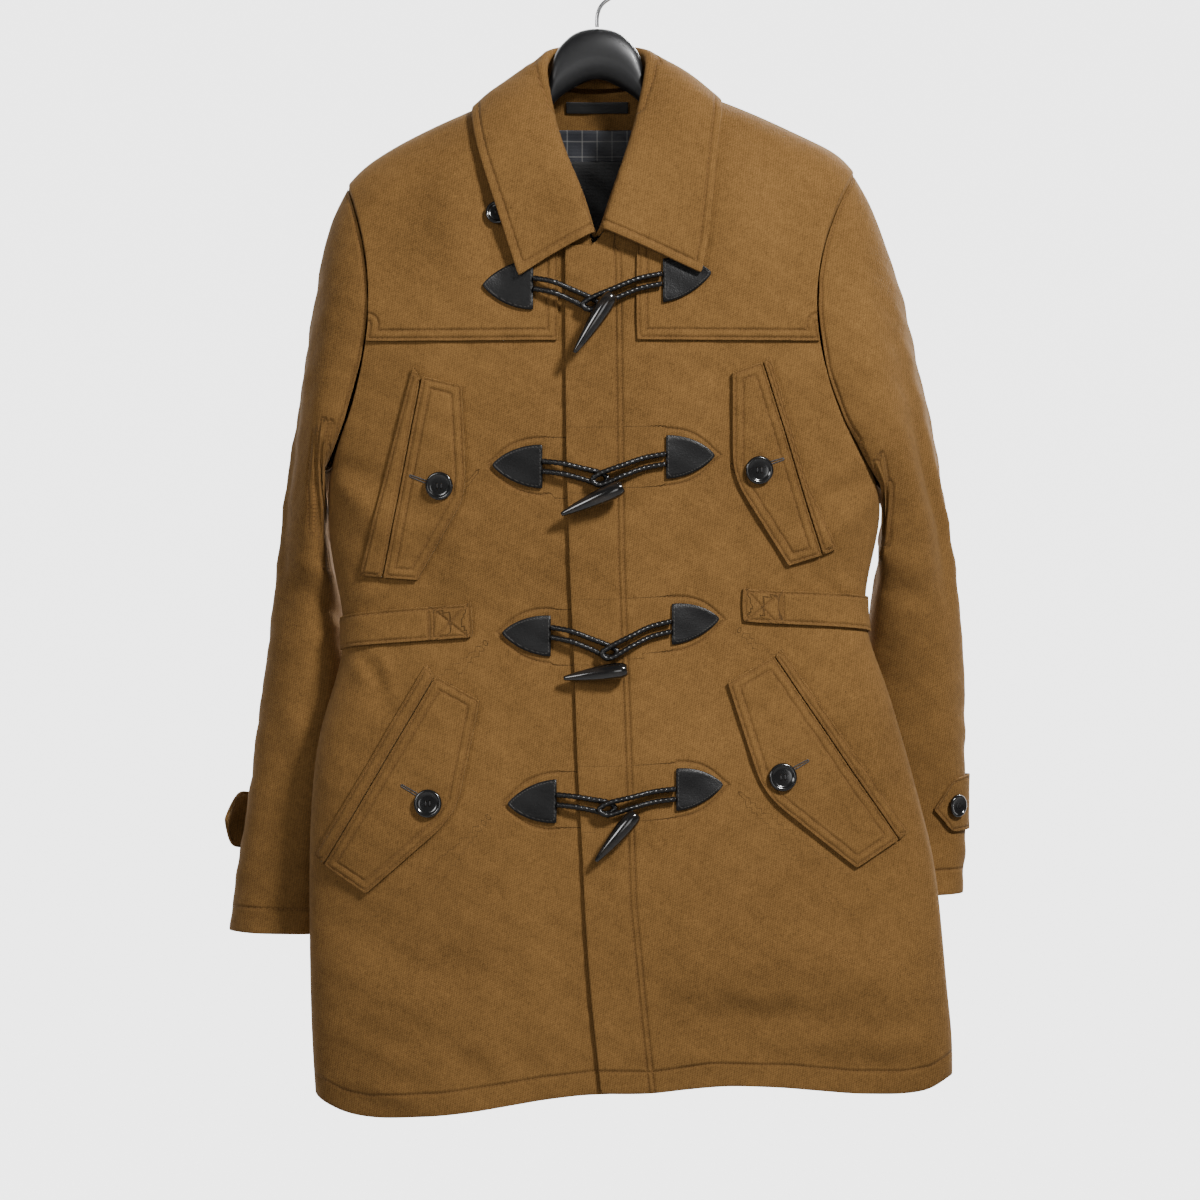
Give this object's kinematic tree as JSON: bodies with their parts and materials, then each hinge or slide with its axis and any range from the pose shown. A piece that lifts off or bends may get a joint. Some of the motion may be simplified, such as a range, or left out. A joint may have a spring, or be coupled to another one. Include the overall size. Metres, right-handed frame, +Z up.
{
  "type": "duffle coat on a hanger",
  "caption": "Camel wool duffle coat with horn toggles on leather patches, flap pockets and a turned-down collar, hung on a plain black hanger",
  "frame": {"origin": "the point of the hook's crook that bears on the rail", "axes": "+Z up, -Y out of the front of the coat, +X towards the wearer's left"},
  "size_m": [0.6593, 0.2344, 0.9979],
  "materials": {
    "wool": "fuzzy camel wool twill",
    "button": "glossy black, raised rim, four holes",
    "toggle": "polished black horn",
    "leather": "smooth black leather, stitched edge",
    "cord": "braided black leather",
    "lining": "dark satin with a fine pale even check",
    "label": "plain black woven label",
    "tape": "black tape",
    "hanger": "satin black moulded plastic",
    "hook": "bright steel wire"
  },
  "bodies": {
    "root": {"front_left": "wool", "front_right": "wool", "back": "wool", "sleeve_left": "wool", "sleeve_right": "wool", "yoke_left": "wool", "yoke_right": "wool", "collar": "wool", "flap_chest_left": "wool", "flap_chest_right": "wool", "flap_hip_left": "wool", "flap_hip_right": "wool", "welt_chest_left": "wool", "welt_chest_right": "wool", "welt_hip_left": "wool", "welt_hip_right": "wool", "waist_tab_left": "wool", "waist_tab_right": "wool", "cuff_tab_left": "wool", "cuff_tab_right": "wool", "button_chest_left": "button", "button_chest_right": "button", "button_hip_left": "button", "button_hip_right": "button", "button_cuff_left": "button", "button_cuff_right": "button", "button_neck": "button", "toggle_1": "toggle", "toggle_2": "toggle", "toggle_3": "toggle", "toggle_4": "toggle", "patch_right_1": "leather", "patch_left_1": "leather", "patch_right_2": "leather", "patch_left_2": "leather", "patch_right_3": "leather", "patch_left_3": "leather", "patch_right_4": "leather", "patch_left_4": "leather", "cord_right_1": "cord", "cord_left_1": "cord", "cord_right_2": "cord", "cord_left_2": "cord", "cord_right_3": "cord", "cord_left_3": "cord", "cord_right_4": "cord", "cord_left_4": "cord", "back_lining": "lining", "neck_label": "label", "hanger_loop": "tape", "hanger": "hanger", "hook": "hook"}
  },
  "joints": []
}
